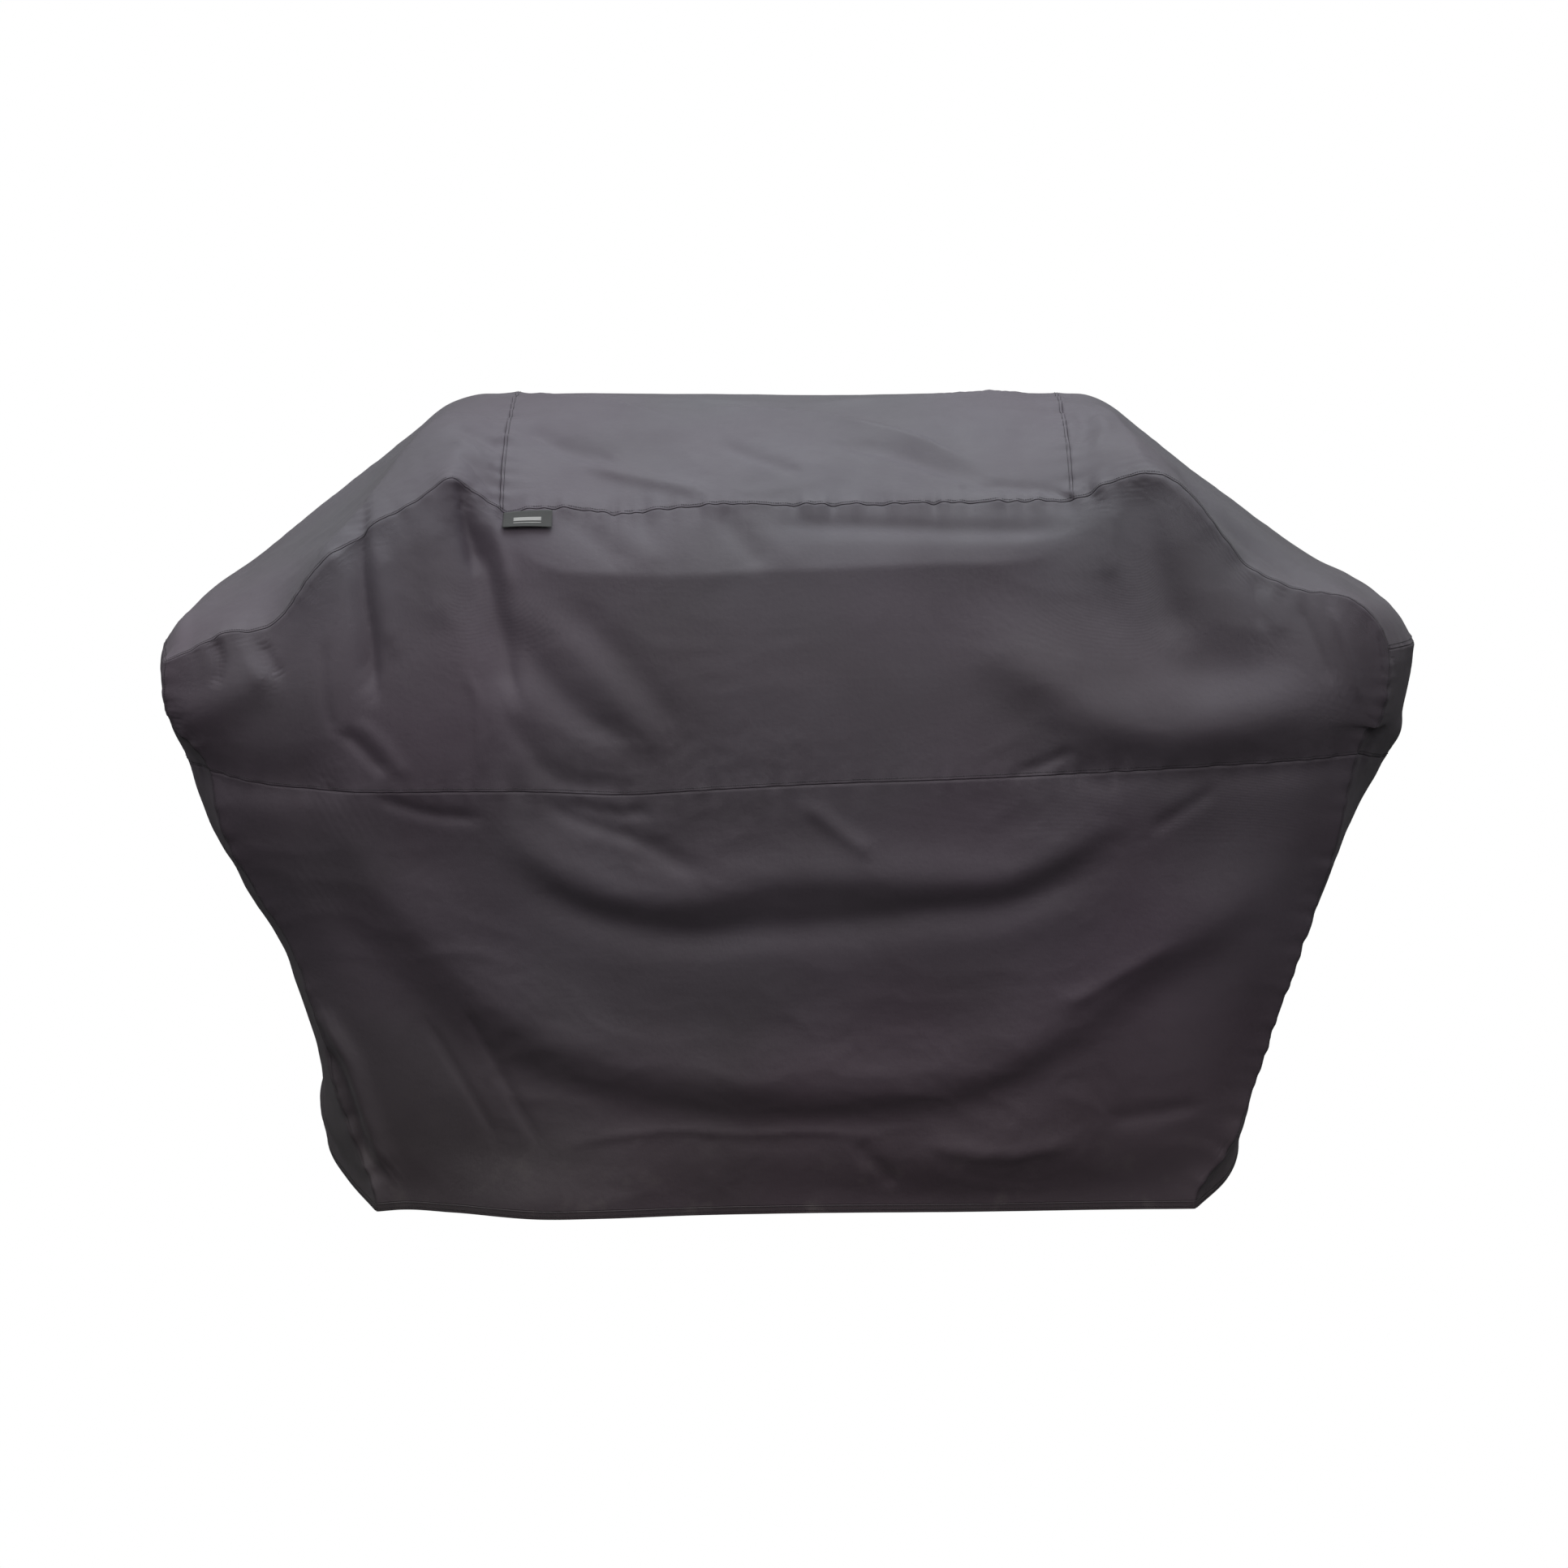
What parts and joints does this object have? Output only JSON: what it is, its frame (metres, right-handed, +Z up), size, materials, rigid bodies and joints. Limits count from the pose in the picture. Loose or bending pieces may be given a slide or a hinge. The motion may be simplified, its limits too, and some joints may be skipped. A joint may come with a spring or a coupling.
{
  "type": "grill cover",
  "caption": "Fitted fabric cover for a wide gas grill: raised hood top, sloped shoulders over side shelves, seamed skirt drawn in at the hem by a cinch strap on each end.",
  "frame": {"origin": "on the floor, under the middle of the cover, halfway between its two ends and at the middle of the side shelves' depth", "axes": "+X to the right as seen from the front, +Y to the rear, +Z up; the front, with the label, faces -Y"},
  "size_m": [1.89, 0.642, 1.2],
  "materials": {
    "fabric": "satin",
    "hem": "satin",
    "label": "matte",
    "webbing": "matte",
    "tape": "matte",
    "ring_plastic": "satin"
  },
  "bodies": {
    "cover": {"top_center_panel": "fabric", "left_shoulder_panel": "fabric", "right_shoulder_panel": "fabric", "front_upper_panel": "fabric", "rear_upper_panel": "fabric", "left_upper_side_panel": "fabric", "right_upper_side_panel": "fabric", "front_skirt_panel": "fabric", "rear_skirt_panel": "fabric", "left_skirt_panel": "fabric", "right_skirt_panel": "fabric", "front_hem": "hem", "rear_hem": "hem", "left_hem": "hem", "right_hem": "hem", "left_strap": "webbing", "left_loop_patch": "tape", "left_ring_tab": "webbing", "right_strap": "webbing", "right_loop_patch": "tape", "right_ring_tab": "webbing"},
    "label": {"label": "label"},
    "left_tail": {"left_strap_tail": "webbing", "left_hook_patch": "tape"},
    "right_tail": {"right_strap_tail": "webbing", "right_hook_patch": "tape"},
    "left_ring": {"left_ring": "ring_plastic"},
    "right_ring": {"right_ring": "ring_plastic"}
  },
  "joints": [
    {"name": "left_strap_peel", "type": "hinge", "parent": "cover", "child": "left_tail", "pos_m": [-0.76625, 0.075, 0.29716], "axis": [0.3091, 0, -0.951], "range_deg": [0, 160]},
    {"name": "right_strap_peel", "type": "hinge", "parent": "cover", "child": "right_tail", "pos_m": [0.76625, 0.075, 0.29716], "axis": [0.3091, 0, 0.951], "range_deg": [0, 160]},
    {"name": "left_ring_swing", "type": "hinge", "parent": "cover", "child": "left_ring", "pos_m": [-0.76206, 0.09, 0.29852], "axis": [0.3091, 0, -0.951], "range_deg": [-3.5, 3.5]},
    {"name": "right_ring_swing", "type": "hinge", "parent": "cover", "child": "right_ring", "pos_m": [0.76206, 0.09, 0.29852], "axis": [0.3091, 0, 0.951], "range_deg": [-3.5, 3.5]},
    {"name": "label_lift", "type": "hinge", "parent": "cover", "child": "label", "pos_m": [-0.387, -0.22215, 1.07686], "axis": [-1, 0, 0], "range_deg": [0, 150]}
  ]
}
